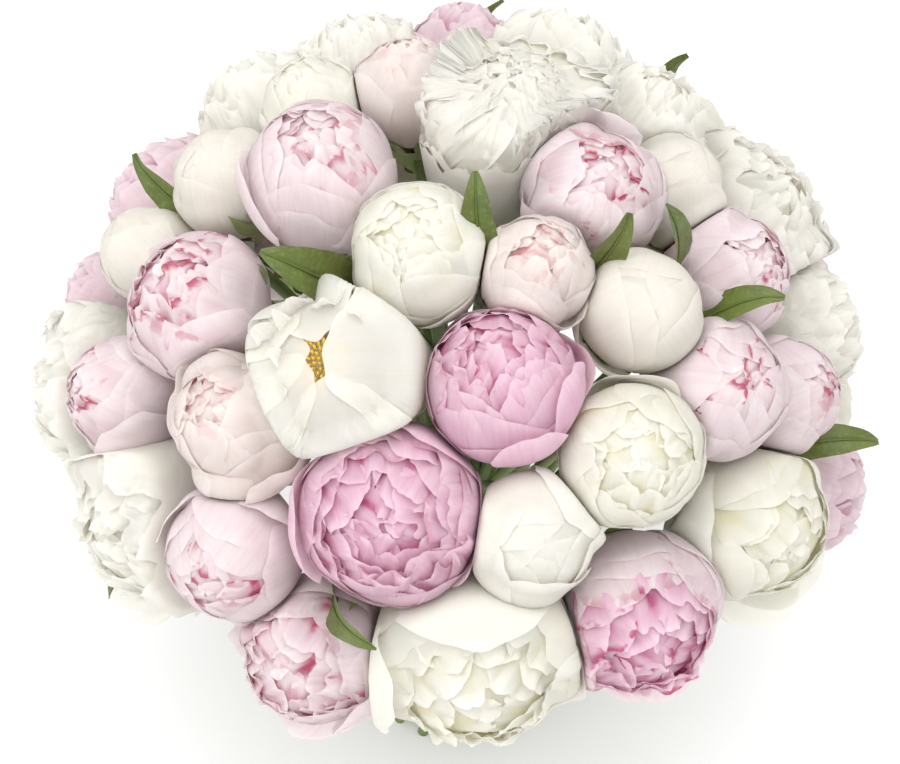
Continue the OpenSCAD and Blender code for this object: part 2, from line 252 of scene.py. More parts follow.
# ---------------------------------------------------------------- heads read from the frame
class Head:
    """Place and size of one head, measured on its CAD solid."""

    def __init__(self, node):
        self.node = node
        self.kind = node.split("_")[0]
        self.number = int(node.split("_")[-1])
        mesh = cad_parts[node].data
        points = np.zeros(len(mesh.vertices) * 3)
        mesh.vertices.foreach_get("co", points)
        points = points.reshape(-1, 3)
        self.axis = unit(points.mean(axis=0) - DOME_CENTRE)
        along_axis = (points - DOME_CENTRE) @ self.axis
        aside = np.linalg.norm(points - DOME_CENTRE - along_axis[:, None] * self.axis, axis=1)
        widest = along_axis[aside > aside.max() * 0.9999].mean()
        self.r = aside.max()
        self.low = widest - along_axis.min()
        self.up = along_axis.max() - widest
        self.seat_r = aside[along_axis < along_axis.min() + 1e-5].max()
        self.centre = DOME_CENTRE + self.axis * widest
        self.rng = rng_for(self.number)

    def shell(self, start, end, scale=1.0, n=24):
        """Outline of the head from share start to share end of the way from its seat to its top."""
        s = np.linspace(start, end, n)
        low = np.clip(s / 0.45, 0, 1)
        high = np.clip((s - 0.45) / 0.55, 0, 1)
        radius = np.where(s < 0.45, self.seat_r + (self.r - self.seat_r) * np.sin(low * math.pi / 2),
                          self.r * np.cos(high * math.pi / 2))
        height = np.where(s < 0.45, -self.low * (1 - low), self.up * np.sin(high * math.pi / 2))
        return np.stack([radius, height], axis=1) * scale

    def reach(self, way):
        """Distance from the middle of the head to its surface, for unit vectors in its own frame."""
        tall = np.where(way[..., 2] > 0, self.up, self.low)
        return 1 / np.sqrt((1 - way[..., 2] ** 2) / self.r ** 2 + way[..., 2] ** 2 / tall ** 2)

    def under(self, points):
        """How deep points lie below the surface of the head, 0 at the surface to 1 well inside; it sets where
        petals take their deeper fold tint and painted shade.
        """
        far = np.linalg.norm(points, axis=-1) + 1e-9
        return smooth(0.88, 0.64, far / self.reach(points / far[..., None]))

    def meet(self, heads):
        """Keeps the planes halfway to the neighbours, which stop this head's petals."""
        ways, planes = [], []
        own = self.r * FIRMNESS.get(self.number, 1.0)
        for other in heads:
            gap = other.centre - self.centre
            d = np.linalg.norm(gap)
            if other is not self and d < 2.1 * (self.r + other.r):
                theirs = other.r * FIRMNESS.get(other.number, 1.0)
                ways.append(gap / d)
                planes.append((d * d + own ** 2 - theirs ** 2) / (2 * d))
        self.ways, self.planes = np.array(ways), np.array(planes)

    def fill(self, points, press):
        """Swells the head into the free room round it and presses it flat against its neighbours."""
        gap = points - self.centre
        far = np.linalg.norm(gap, axis=1) + 1e-9
        way = gap / far[:, None]
        toward = np.clip(way @ self.ways.T, 0, 1) / self.planes
        allowed = 1 / ((toward ** 9).sum(axis=1) ** (1 / 9) + 1e-6)
        own = self.reach(way @ self.basis)
        room = allowed / own
        most = SWELL.get(self.number, MOST_SWELL)
        if most < SKIRT_SWELL:
            free = smooth(most + 0.45, most, room)
        else:
            free = smooth(0.65, 0.20, way @ self.axis)
        grow = np.maximum(np.where(room < most, room, REST_SWELL + (most - REST_SWELL) * free), 0.94)
        far = far * (1 + (grow - 1) * smooth(0.35, 0.95, far / own))
        give = 0.05 if press < 1.1 else 0.14
        knee = (1 - give) * allowed * press
        soft = give * allowed * press
        over = np.maximum(far - knee, 0)
        far = np.where(far > knee, knee + soft * (1 - np.exp(-over / soft)), far)
        return self.centre + way * far[:, None]

    def placer(self, press):
        """Turns points of the head's own frame into the scene's. The head nods above its seat."""
        facing = FACING.get(self.number)
        target = direction(*facing) if facing else self.axis
        spin = np.cross(self.axis, target)
        angle = math.asin(min(1.0, np.linalg.norm(spin)))
        side = unit(spin) if angle > 1e-4 else unit(np.cross(self.axis, [0.0, 0.3, 1.0]))
        third = np.cross(side, self.axis)
        self.basis = np.stack([third, side, self.axis], axis=1)

        def place(points):
            p = points.copy()
            a = angle * smooth(-self.low, 0.15 * self.up, p[:, 2])
            x = p[:, 0] * np.cos(a) + p[:, 2] * np.sin(a)
            z = -p[:, 0] * np.sin(a) + p[:, 2] * np.cos(a)
            p[:, 0], p[:, 2] = x, z
            return self.fill(p @ self.basis.T + self.centre, press)
        return place

    def turn_to(self, azimuth, polar):
        """Angle round the head, in its own frame, that looks towards a direction in the scene."""
        way = direction(azimuth, polar) @ self.basis
        return math.atan2(way[1], way[0])


# Where the opening of a head looks, when that isn't straight out of the dome: degrees round and down
FACING = {1: (-30, 12), 2: (-20, 30), 3: (35, 18), 4: (-60, 12), 5: (-3, 42), 6: (20, 30), 7: (5, 42),
          8: (30, 25), 9: (-12, 28), 10: (-50, 28), 11: (-84, 30), 12: (-24, 76), 13: (-80, 28),
          15: (-100, 20), 17: (-20, 8), 26: (70, 24), 28: (90, 38), 29: (60, 40), 30: (40, 34), 31: (68, 44),
          32: (34, 68), 34: (18, 74), 35: (10, 78), 36: (-30, 55)}
# How firmly some heads hold their room against their neighbours
FIRMNESS = {5: 1.06, 10: 1.22, 35: 1.15, 51: 0.86, 17: 1.15}
# How far a head may swell to fill the room round it, and how far it swells where there's more room
MOST_SWELL = 1.18
REST_SWELL = 1.03
SWELL = {1: 1.12, 2: 1.14, 3: 1.14, 4: 1.08, 5: 1.14, 6: 1.12, 7: 1.12, 9: 1.40, 10: 1.32, 12: 1.12,
         17: 1.70, 24: 1.35, 28: 1.35, 35: 1.26, 37: 1.35, 51: 1.22}
# From this swell on, a head spreads as a skirt to its sides and not over its top
SKIRT_SWELL = 1.6
# How near the plane halfway to a neighbour the petals of a head may come, kind by kind
PRESS = {"open": 1.04, "loose": 1.12, "rose": 1.04}
USUAL_PRESS = 0.995
# Share of the middle petals that carry crimson flecks
FLECKED_SHARE = 0.38


def ring(sheets, head, count, tip, spread, q, uneven=5.0, **options):
    """A ring of overlapping petals on the surface of the head, with tips about tip degrees from its axis."""
    rng = head.rng
    first = rng.uniform(0, TAU)
    for k in range(count):
        own = dict(twist=rng.uniform(0.012, 0.028), tone=rng.uniform(0, 1), lean=rng.uniform(-0.16, 0.16),
                   round_tip=rng.uniform(0.24, 0.36))
        own.update(options)
        for key in ("notch", "teeth", "ruffle", "curl"):
            if key in own:
                own[key] = own[key] * rng.uniform(0.4, 1.5)
        own["notch_at"] = rng.uniform(-0.6, 0.6)
        own["fleck"] = own.get("fleck", 0.0) * (rng.random() < FLECKED_SHARE)
        azimuth = first + TAU * k / count + rng.uniform(-0.16, 0.16)
        wrap(sheets, head, azimuth, tip + rng.uniform(-uneven, uneven), spread * rng.uniform(0.88, 1.10),
             q + rng.uniform(-0.006, 0.006), **own)


def core(sheets, head, q, start=110, **options):
    """Three petals that close the middle under the ones above it."""
    ring(sheets, head, 3, -14, 60, q, uneven=2, start=start, nu=15, nv=15, round_tip=0.1, **options)


def heart(sheets, head, counts, opening, fleck=0.0, crumple=0.02, sink=0.032, lift=0.05):
    """The middle: rings of lobed petals that overlap each other and fold in over the top of the head."""
    for level, count in enumerate(counts):
        part = (level + 0.6) / len(counts)
        tip = opening * (1 - part) if level < len(counts) - 1 else -4.0
        ring(sheets, head, count, tip, 16 + 0.42 * opening * (1 - 0.6 * part), 0.968 - sink * level,
             uneven=0.16 * opening, start=tip + 60, fleck=fleck, ruffle=crumple, waves=2.6, ruffle_from=0.45,
             curl=lift, curl_from=0.8, notch=0.14, teeth=0.03, nu=21, nv=21, deep_to=0.80)
    core(sheets, head, 0.962 - sink * (len(counts) + 0.3), deep_to=0.95)


def globe(head, guard, middle, opening=34, rings=(5, 5, 4, 3), fleck=0.0, crumple=0.02, lift=0.05,
          sink=0.032):
    """A half-open double head: wrapped guard petals round a crumpled middle."""
    ring(guard, head, 5, min(86, opening + 40), 46, 1.015, uneven=9, curl=0.03, notch=0.02, ruffle=0.009)
    ring(guard, head, 4, opening + 15, 56, 1.0, uneven=7, notch=0.03, ruffle=0.008)
    ring(guard, head, 4, opening - 1, 52, 0.986, uneven=4, ruffle=0.012, notch=0.05, fleck=fleck * 0.5)
    heart(middle, head, rings, opening, fleck=fleck, crumple=crumple, lift=lift, sink=sink)


def closed(head, guard, middle):
    """A tight bud: a few smooth petals that close over each other at the top."""
    ring(guard, head, 3, 30, 68, 1.01, uneven=10, ruffle=0.005, round_tip=0.30)
    ring(guard, head, 3, 12, 64, 0.992, uneven=6, ruffle=0.006)
    ring(middle, head, 3, -6, 60, 0.976, uneven=4, ruffle=0.007)
    ring(middle, head, 3, 4, 70, 0.955, uneven=2, ruffle=0.006, round_tip=0.1)


def flare(head, sheets, count, pole, half, first, ruffle=0.09, teeth=0.06, curl=0.1, out=1.0, even=0.12,
          nu=25, nv=23):
    """A ring of ruffled petals whose tips stand at an angle from the head's axis."""
    rng = head.rng
    r, up, foot = head.r, head.up, -0.85 * head.low
    for k in range(count):
        tip = math.radians(pole + rng.uniform(-9, 9))
        q = out * rng.uniform(0.93, 1.05)
        tip_r, tip_z = q * r * math.sin(tip), q * up * 1.05 * math.cos(tip)
        bow = 0.10 * r * math.cos(tip)
        outline = along([(0.13 * r, foot), (0.42 * tip_r + 0.14 * r, 0.45 * foot + 0.1 * tip_z),
                         (0.80 * tip_r + 0.10 * r + bow, 0.45 * tip_z - 0.10 * r),
                         (0.96 * tip_r + 0.03 * r + bow, 0.80 * tip_z - 0.02 * r), (tip_r, tip_z)], 20)
        width = half * r * rng.uniform(0.85, 1.15) * np.array([0.30, 0.55, 0.85, 1.05, 1.10, 0.95])
        petal(sheets, rng, outline, width, first + TAU * k / count + rng.uniform(-even, even),
              cup=rng.uniform(0.9, 1.4), round_tip=rng.uniform(0.12, 0.24),
              twist=rng.uniform(-0.10, 0.10), curl=curl * rng.uniform(-0.4, 1.4), curl_from=0.65,
              ruffle=ruffle * rng.uniform(0.7, 1.4), waves=2.2 * rng.uniform(0.8, 1.3), ruffle_from=0.35,
              teeth=teeth * rng.uniform(0.5, 1.5), notch=rng.uniform(0, 0.28),
              notch_at=rng.uniform(-0.6, 0.6), tone=rng.uniform(0, 1), under=head.under, nu=nu, nv=nv,
              lean=rng.uniform(-0.2, 0.2))


def frilled(head, guard, middle):
    """A fully open head: broad ruffled outer petals, then rings of narrower, frayed ones up to the middle."""
    turn = head.rng.uniform(0, TAU, 4)
    flare(head, guard, 7, 104, 0.66, turn[0], ruffle=0.05, teeth=0.03, curl=0.10, out=1.06)
    flare(head, guard, 7, 84, 0.60, turn[1], ruffle=0.06, teeth=0.03, out=1.05)
    flare(head, guard, 8, 66, 0.52, turn[2], ruffle=0.07, teeth=0.04, out=1.03)
    flare(head, middle, 8, 50, 0.44, turn[3], ruffle=0.08, teeth=0.06, curl=0.0, nu=21, nv=21, even=0.3)
    for count, tip, spread, q in ((8, 40, 30, 0.97), (8, 30, 28, 0.97), (7, 20, 26, 0.96), (6, 10, 24, 0.95),
                                  (4, 1, 22, 0.95)):
        ring(middle, head, count, tip, spread, q, uneven=8, curl=0.06, ruffle=0.05, waves=3.4,
             ruffle_from=0.4, teeth=0.10, notch=0.16, nu=21, nv=21, start=tip + 70)
    core(middle, head, 0.86)


# Rings of an open head: petals, angle of the tips, half width, size, curl and ruffle
RUFFLED_RINGS = [(6, 96, 46, 1.10, 0.16, 0.030), (6, 80, 46, 1.07, 0.12, 0.032),
                 (6, 66, 44, 1.04, 0.10, 0.034), (6, 52, 40, 1.01, 0.09, 0.036),
                 (6, 39, 35, 0.97, 0.08, 0.036), (5, 27, 31, 0.93, 0.07, 0.036),
                 (5, 14, 27, 0.89, 0.05, 0.036), (3, 2, 26, 0.85, 0.03, 0.034)]


def ruffled(head, guard, middle):
    """A full open head: overlapping broad petals with wavy, frayed rims, ring inside ring."""
    for count, tip, spread, q, curl, wave in RUFFLED_RINGS:
        ring(guard if tip > 60 else middle, head, count, tip, spread, q, uneven=6, curl=curl, ruffle=wave,
             waves=3.2, ruffle_from=0.35, teeth=0.05, notch=0.16, nu=27, nv=25, under=head.under)
    core(middle, head, 0.80, deep_to=0.95)


def large_petals(head, guard, table, curl_from=0.75, nv=31):
    """The large smooth petals of a blown head, each with its own place."""
    right = head.turn_to(90, 90)
    for turn, tip, spread, q, curl in table:
        wrap(guard, head, math.radians(turn) + right, tip, spread, q, start=WHOLE_START, curl=curl,
             curl_from=curl_from, ruffle=0.012, waves=1.5, tone=head.rng.uniform(0, 1), nu=31, nv=nv)


def bowl(head, guard, middle):
    """A nearly spent head: a wide bowl of smooth petals, with a few smaller ones folded down inside it."""
    large_petals(head, guard, BOWL_PETALS)
    ring(middle, head, 3, 24, 66, 0.985, uneven=8, ruffle=0.010)
    ring(middle, head, 3, 6, 62, 0.965, uneven=6, ruffle=0.010)
    ring(middle, head, 3, -8, 62, 0.945, uneven=4, ruffle=0.010)


def loose(head, guard, middle):
    """A blown head: very large smooth petals over the bare stamens, and a few narrow petaloids."""
    rng = head.rng
    r, low = head.r, head.low
    large_petals(head, guard, BLOWN_PETALS, curl_from=0.35, nv=33)
    for turn, tip_r, tip_z, half, curl in CURLED_PETALS:
        outline = along([(0.2 * r, -0.7 * low), (0.62 * r, -0.3 * low), (0.90 * tip_r * r, 0.45 * tip_z * r),
                         (tip_r * r, tip_z * r)], 20)
        width = half * r * np.array([0.35, 0.7, 1.0, 1.12, 1.05, 0.8])
        petal(guard, rng, outline, width, math.radians(turn) + head.turn_to(90, 90), cup=0.9, twist=0.06,
              curl=curl, curl_from=0.55, ruffle=0.05, waves=1.8, nu=21, nv=25, tone=rng.uniform(0, 1))
    for k in range(16):
        tip_r = rng.uniform(0.36, 0.66) * r
        outline = along([(0.12 * r, -0.6 * low), (0.30 * r, -0.1 * r),
                         (tip_r, rng.uniform(0.35, 0.70) * r)], 14)
        width = rng.uniform(0.06, 0.14) * r * np.array([0.6, 0.8, 1.0, 1.1, 0.8])
        petal(middle, rng, outline, width, k * GOLDEN_ANGLE, cup=0.6, round_tip=0.3,
              curl=rng.uniform(-0.6, 0.6), ruffle=0.12, waves=1.4, nu=9, nv=15, tone=rng.uniform(0, 1))


# Large petals of the two blown heads: turn anticlockwise from the right and angle from the axis at the
# tip, half width, size against the head and how far the tip curls out
BLOWN_PETALS = [(150, 80, 50, 1.12, 0.10), (75, 84, 50, 1.08, 0.06), (-135, 76, 48, 1.04, 0.04),
                (-60, 84, 46, 1.08, 0.0), (10, 84, 50, 1.06, 0.0), (178, 20, 38, 1.10, 0.12),
                (-82, 16, 44, 1.12, 0.14), (4, -6, 54, 1.14, 0.18), (-150, 16, 34, 1.08, 0.16),
                (112, 18, 34, 1.08, 0.16), (150, 40, 36, 1.04, 0.20)]
BOWL_PETALS = [(95, 34, 62, 1.00, 0.0), (150, 44, 52, 1.03, 0.02), (40, 44, 52, 1.03, 0.02),
               (200, 44, 54, 1.05, 0.03), (-20, 46, 54, 1.05, 0.04), (-95, 30, 66, 1.06, 0.05)]
# Curled petals of the blown head: turn, tip radius, tip height, half width, curl
CURLED_PETALS = [(128, 1.20, 1.05, 0.30, -0.50), (98, 0.95, 1.15, 0.26, -0.50), (158, 1.10, 0.95, 0.24, 0.45),
                 (62, 0.80, 1.10, 0.26, -0.35), (-150, 0.90, 0.85, 0.26, -0.40),
                 (176, 0.80, 1.15, 0.15, 0.45), (142, 0.95, 1.25, 0.12, 0.50)]
# Single petals that stand off some heads: turn, angle of the tip from the axis, how far off, half width, curl
OFF_PETALS = {1: [(195, 62, 0.10, 44, 0.04), (-50, 74, 0.16, 36, 0.0)], 2: [(-60, 78, 0.16, 36, 0.0)],
              3: [(-100, 76, 0.14, 36, 0.0), (-45, 84, 0.28, 32, 0.0)],
              4: [(-20, 60, 0.10, 30, 0.04), (-70, 76, 0.12, 30, 0.04), (100, 58, 0.16, 36, 0.0),
                  (44, 84, 0.30, 30, 0.0), (18, 88, 0.45, 30, 0.0), (66, 88, 0.45, 28, 0.0)],
              5: [(185, 66, 0.10, 42, 0.04), (-10, 62, 0.12, 40, 0.04), (60, 56, 0.10, 40, 0.0)],
              6: [(-115, 84, 0.30, 34, 0.0), (192, 84, 0.28, 32, 0.0)],
              7: [(112, 84, 0.40, 34, 0.0), (78, 80, 0.30, 34, 0.0)],
              8: [(88, 58, 0.26, 34, 0.0), (-140, 76, 0.16, 38, 0.0)],
              10: [(160, 66, 0.08, 40, 0.04), (-48, 84, 0.30, 34, 0.0)],
              12: [(150, 70, 0.12, 40, 0.02), (60, 84, 0.26, 32, 0.0)],
              17: [(-90, 66, 0.45, 38, 0.0), (-130, 72, 0.42, 38, 0.0), (-50, 72, 0.42, 38, 0.0),
                   (-110, 88, 0.60, 36, 0.0), (-70, 88, 0.60, 36, 0.0), (-160, 80, 0.40, 38, 0.0)],
              25: [(-60, 60, 0.18, 40, 0.04)],
              32: [(175, 66, 0.20, 50, 0.04), (-95, 70, 0.34, 46, 0.08), (-60, 76, 0.30, 40, 0.06)],
              34: [(190, 70, 0.10, 40, 0.02), (-80, 70, 0.14, 40, 0.06)],
              35: [(182, 58, 0.22, 36, -0.02), (-2, 66, 0.12, 40, 0.0), (92, 50, 0.16, 46, -0.02)],
              36: [(-70, 68, 0.14, 40, 0.04), (-25, 62, 0.14, 38, 0.04), (165, 70, 0.14, 40, 0.02),
                   (95, 70, 0.12, 46, 0.02)],
              37: [(85, 50, 0.20, 46, 0.02), (-85, 66, 0.28, 42, 0.06), (0, 56, 0.18, 46, 0.04)]}


def off_petals(head, sheets):
    """The single petals that stand off a head."""
    smooth_rim = dict(ruffle=0.014, waves=1.6)
    frayed_rim = dict(ruffle=0.05, waves=3.2, teeth=0.06, notch=0.14)
    rim = frayed_rim if head.kind == "open" else smooth_rim
    for turn, tip, off, spread, curl in OFF_PETALS.get(head.number, []):
        wrap(sheets, head, math.radians(turn) + head.turn_to(90, 90), tip, spread, 1.03, curl=off + curl,
             curl_from=0.1, nu=27, nv=25, tone=head.rng.uniform(0, 1), **rim)


def rosette(head, guard, middle):
    """An open pale pink head seen mostly from its side: large petals, the outer ones laid back."""
    ring(guard, head, 5, 90, 52, 1.10, curl=0.14, ruffle=0.025, notch=0.06)
    ring(guard, head, 5, 72, 50, 1.06, curl=0.10, ruffle=0.025, notch=0.06)
    ring(guard, head, 5, 54, 46, 1.02, curl=0.06, ruffle=0.025, notch=0.08)
    ring(middle, head, 5, 40, 42, 0.98, curl=0.04, ruffle=0.025, notch=0.08, under=head.under)
    heart(middle, head, (5, 5, 3), 36)


# ---------------------------------------------------------------- materials
class Nodes:
    """Short way to write a node tree."""

    def __init__(self, name):
        self.material = bpy.data.materials.new(name)
        self.material.use_nodes = True
        self.tree = self.material.node_tree
        self.tree.nodes.clear()
        self.out = self.add("ShaderNodeOutputMaterial")

    def add(self, kind, inputs=None, **settings):
        node = self.tree.nodes.new(kind)
        for key, value in settings.items():
            setattr(node, key, value)
        for key, value in (inputs or {}).items():
            self.put(node, key, value)
        return node

    def put(self, node, key, value):
        socket = node.inputs[key]
        if isinstance(value, bpy.types.NodeSocket):
            self.tree.links.new(value, socket)
        elif isinstance(value, tuple) and len(value) == 3 and socket.type == "RGBA":
            socket.default_value = (*value, 1.0)
        else:
            socket.default_value = value

    def mix(self, factor, a, b, blend="MIX"):
        node = self.add("ShaderNodeMix", data_type="RGBA", blend_type=blend)
        self.put(node, 0, factor)
        self.put(node, 6, a)
        self.put(node, 7, b)
        return node.outputs[2]

    def math(self, operation, a, b=0.0, clamp=False):
        node = self.add("ShaderNodeMath", operation=operation, use_clamp=clamp)
        self.put(node, 0, a)
        self.put(node, 1, b)
        return node.outputs[0]

    def ramp(self, value, low, high):
        return self.add("ShaderNodeMapRange", {"Value": value, "From Min": low, "From Max": high},
                        clamp=True).outputs[0]

    def attribute(self, name):
        return self.add("ShaderNodeAttribute", attribute_name=name, attribute_type="GEOMETRY").outputs

    def shade(self):
        """The four shade values of a sheet: way up, edge, fleck and tone."""
        values = self.attribute("shade")
        parts = self.add("ShaderNodeSeparateColor", {"Color": values["Color"]}).outputs
        return parts[0], parts[1], parts[2], values["Alpha"]

    def stretched(self, x, y):
        """UV coordinates, stretched across and along."""
        uv = self.add("ShaderNodeTexCoord").outputs["UV"]
        return self.add("ShaderNodeMapping", {"Vector": uv, "Scale": (x, y, 1.0)}).outputs[0]

    def here(self):
        return self.add("ShaderNodeTexCoord").outputs["Object"]

    def bump(self, height, strength, distance):
        return self.add("ShaderNodeBump", {"Height": height, "Strength": strength,
                                           "Distance": distance}).outputs[0]

    def noise(self, vector, scale, detail=3.0, rough=0.5):
        return self.add("ShaderNodeTexNoise", {"Vector": vector, "Scale": scale, "Detail": detail,
                                               "Roughness": rough}).outputs["Fac"]


def linear(red, green, blue):
    """A display colour, 0 to 255, as the linear value that sockets take."""
    parts = [c / 255 for c in (red, green, blue)]
    return tuple(c / 12.92 if c <= 0.04045 else ((c + 0.055) / 1.055) ** 2.4 for c in parts)


# Tint of the light that comes through a petal, and its share
PETAL_GLOW = (1.0, 0.99, 0.972)
PETAL_THROUGH = 0.50
# Each kind of head: body, tip, base, deep fold colour (a deeper tint that also paints shade in the folds),
# fleck and warm variation of its petals, and the share of flecks in the folds
PETALS = {
    "blush": ((245, 236, 239), (247, 242, 244), (239, 219, 226), (228, 178, 195), (190, 48, 98),
              (247, 240, 239), 1.0),
    "ivory": ((244, 244, 239), (246, 246, 242), (240, 239, 228), (238, 235, 208), (226, 206, 130),
              (247, 244, 236), 0.0),
    "cream": ((245, 240, 238), (247, 243, 241), (238, 222, 212), (234, 214, 204), (200, 80, 110),
              (247, 238, 233), 0.7),
    "pink": ((239, 206, 224), (245, 226, 236), (232, 190, 211), (216, 134, 172), (188, 60, 118),
             (245, 226, 234), 0.8),
    "bud": ((244, 243, 238), (246, 244, 240), (235, 229, 212), (230, 216, 196), (200, 120, 120),
            (246, 241, 233), 0.0),
    "open": ((246, 245, 239), (246, 246, 242), (242, 240, 226), (241, 238, 222), (228, 206, 204),
             (246, 243, 240), 0.0),
    "loose": ((244, 244, 240), (246, 246, 242), (234, 233, 216), (230, 224, 192), (228, 206, 204),
              (246, 243, 237), 0.0),
    "rose": ((241, 226, 231), (244, 232, 238), (232, 206, 217), (220, 176, 196), (190, 90, 130),
             (243, 230, 232), 0.3),
}


def petal_material(kind):
    """Petal: colour from base to tip, a deeper tint with painted shade in the folds, a flecked rim, fine
    veins and a satin sheen.
    """
    body, tip, base, deep, fleck, warm = (linear(*colour) for colour in PETALS[kind][:6])
    n = Nodes("petal_" + kind)
    way, edge, flecks, tone = n.shade()
    depth = n.attribute("depth")["Fac"]
    here = n.here()
    veins = n.noise(n.stretched(11.0, 0.55), 1.0, 4.0, 0.6)
    blotch = n.noise(here, 55.0, 3.0, 0.55)
    fine = n.noise(here, 900.0, 2.0, 0.5)
    colour = n.mix(n.ramp(way, 0.05, 0.62), base, body)
    colour = n.mix(n.math("MULTIPLY", n.ramp(edge, 0.35, 1.0), 0.85), colour, tip)
    colour = n.mix(n.math("MULTIPLY", tone, 0.5), colour, warm)
    colour = n.mix(n.math("MULTIPLY", n.ramp(veins, 0.45, 0.75), 0.45), colour, n.mix(0.5, colour, deep))
    colour = n.mix(n.math("MULTIPLY", n.ramp(blotch, 0.42, 0.75), 0.22), colour, n.mix(0.45, colour, deep))
    spots = n.math("MULTIPLY", n.ramp(n.noise(here, 85.0, 2.0, 0.5), 0.50, 0.58), PETALS[kind][6])
    # Painted shade: where depth is high, in the folds and under the petals above, the colour turns to the
    # deep fold tint, with crimson pockets where spots fall
    colour = n.mix(n.math("MULTIPLY", depth, 0.9), colour, n.mix(spots, deep, fleck))
    streaks = n.ramp(n.noise(here, 120.0, 2.0, 0.5), 0.47, 0.55)
    colour = n.mix(n.math("MULTIPLY", flecks, streaks, clamp=True), colour, fleck)
    height = n.math("ADD", n.math("MULTIPLY", veins, 0.7), n.math("MULTIPLY", fine, 0.25))
    bump = n.bump(height, 0.25, 0.0005)
    rough = n.add("ShaderNodeMapRange", {"Value": veins, "To Min": 0.50, "To Max": 0.66}).outputs[0]
    shader = n.add("ShaderNodeBsdfPrincipled", {"Base Color": colour, "Roughness": rough, "Normal": bump,
                   "Specular IOR Level": 0.32, "Sheen Weight": 0.25, "Sheen Roughness": 0.45})
    lit = n.mix(1.0, colour, PETAL_GLOW, "MULTIPLY")
    glow = n.add("ShaderNodeBsdfTranslucent", {"Color": lit, "Normal": bump})
    both = n.add("ShaderNodeMixShader", {0: PETAL_THROUGH, 1: shader.outputs[0], 2: glow.outputs[0]})
    n.put(n.out, "Surface", both.outputs[0])
    return n.material


RECIPES = {"blush": globe, "ivory": globe, "cream": globe, "pink": globe, "bud": closed, "open": ruffled,
           "loose": loose, "rose": rosette}
OWN_RECIPES = {17: frilled, 51: bowl}
OWN_HEARTS = {34: "pink"}
# Kind by kind, then head by head: how far the middle is open, in degrees from its axis, and how it's crumpled
SHAPES = {"blush": dict(opening=27, fleck=0.9),
          "ivory": dict(opening=30, crumple=0.016, lift=0.03, sink=0.026),
          "cream": dict(opening=20, rings=(4, 4, 3), fleck=0.3),
          "pink": dict(opening=60, rings=(6, 7, 6, 5, 3), fleck=0.4, crumple=0.03, lift=0.08, sink=0.036)}
OWN_SHAPES = {1: dict(opening=26, fleck=0.75), 3: dict(opening=20, rings=(4, 4, 3), fleck=0.45),
              4: dict(opening=42, rings=(6, 6, 5, 3)),
              5: dict(opening=54, rings=(6, 7, 7, 6, 4), crumple=0.034, lift=0.08, sink=0.036),
              7: dict(opening=42, crumple=0.024), 8: dict(opening=30, fleck=1.0),
              11: dict(opening=42, crumple=0.03, lift=0.08), 12: dict(opening=18, rings=(4, 3)),
              15: dict(opening=16, rings=(4, 3)), 30: dict(opening=14, rings=(4, 3)),
              31: dict(opening=14, rings=(4, 3)), 32: dict(opening=44),
              34: dict(opening=54, rings=(6, 6, 5, 4), crumple=0.034, lift=0.08, sink=0.036),
              35: dict(opening=52, crumple=0.034, lift=0.07, rings=(6, 6, 5, 3), sink=0.034),
              36: dict(opening=50, rings=(6, 6, 5, 3), crumple=0.034, lift=0.06, fleck=0.35)}


def make_heads():
    materials = {kind: petal_material(kind) for kind in PETALS}
    heads = [Head(node) for node in sorted(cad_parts) if node.split("_")[0] in RECIPES]
    for head in heads:
        head.meet(heads)
        place = head.placer(PRESS.get(head.kind, USUAL_PRESS))
        guard, middle = Sheets(), Sheets()
        shape = dict(SHAPES.get(head.kind, {}), **OWN_SHAPES.get(head.number, {}))
        recipe = OWN_RECIPES.get(head.number, RECIPES[head.kind])
        recipe(head, guard, middle, **shape)
        off_petals(head, guard)
        label = f"{head.kind}_{head.number:02d}"
        inner = OWN_HEARTS.get(head.number, head.kind)
        for sheets, name, kind in ((guard, "guard_petals", head.kind), (middle, "heart_petals", inner)):
            sheets.build(f"{label}_{name}", materials[kind], head.node, "petal_" + kind, place)
    return heads


# ---------------------------------------------------------------- tubes and sheets for the green parts
def tube(sheets, path, radius, sides=12, tone=0.5, ribs=0.0, caps=True):
    """A round or ribbed tube along path, (n, 3), with radius (n,). Its ends are closed, cut across."""
    path = np.asarray(path, float)
    radius = np.broadcast_to(np.asarray(radius, float), (len(path),))
    ways = np.gradient(path, axis=0)
    ways /= np.linalg.norm(ways, axis=1)[:, None]
    frames = [unit(np.cross(ways[0], [1.0, 0.2, 0.1]))]
    for way in ways[1:]:
        frames.append(unit(frames[-1] - way * (frames[-1] @ way)))
    one = np.array(frames)
    two = np.cross(ways, one)
    turn = np.linspace(0, TAU, sides, endpoint=False)
    shape = 1 + ribs * np.cos(turn * 5)
    around = one[:, None] * np.cos(turn)[None, :, None] + two[:, None] * np.sin(turn)[None, :, None]
    points = path[:, None] + around * (radius[:, None] * shape[None])[..., None]
    v = np.linspace(0, 1, len(path))
    cut = np.zeros(len(path))
    if caps:
        start = [path[0] + (points[0] - path[0]) * share for share in (0.02, 0.5, 0.96)]
        end = [path[-1] + (points[-1] - path[-1]) * share for share in (0.96, 0.5, 0.02)]
        points = np.concatenate([start, points, end])
        v = np.concatenate([[0, 0, 0], v, [1, 1, 1]])
        cut = np.concatenate([[1, 1, 0.6], cut, [0.6, 1, 1]])
    flat = np.zeros((len(points), sides))
    v, cut = v[:, None] + flat, cut[:, None] + flat
    u = np.linspace(0, 1, sides, endpoint=False)[None, :] + flat
    sheets.grid(points, np.stack([v, cut, flat, tone + flat], axis=-1), np.stack([u, v], axis=-1),
                closed=True)


def on_floor(points):
    """Levels the cut feet of the stems on the floor."""
    return np.column_stack([points[:, :2], np.maximum(points[:, 2], 0)])


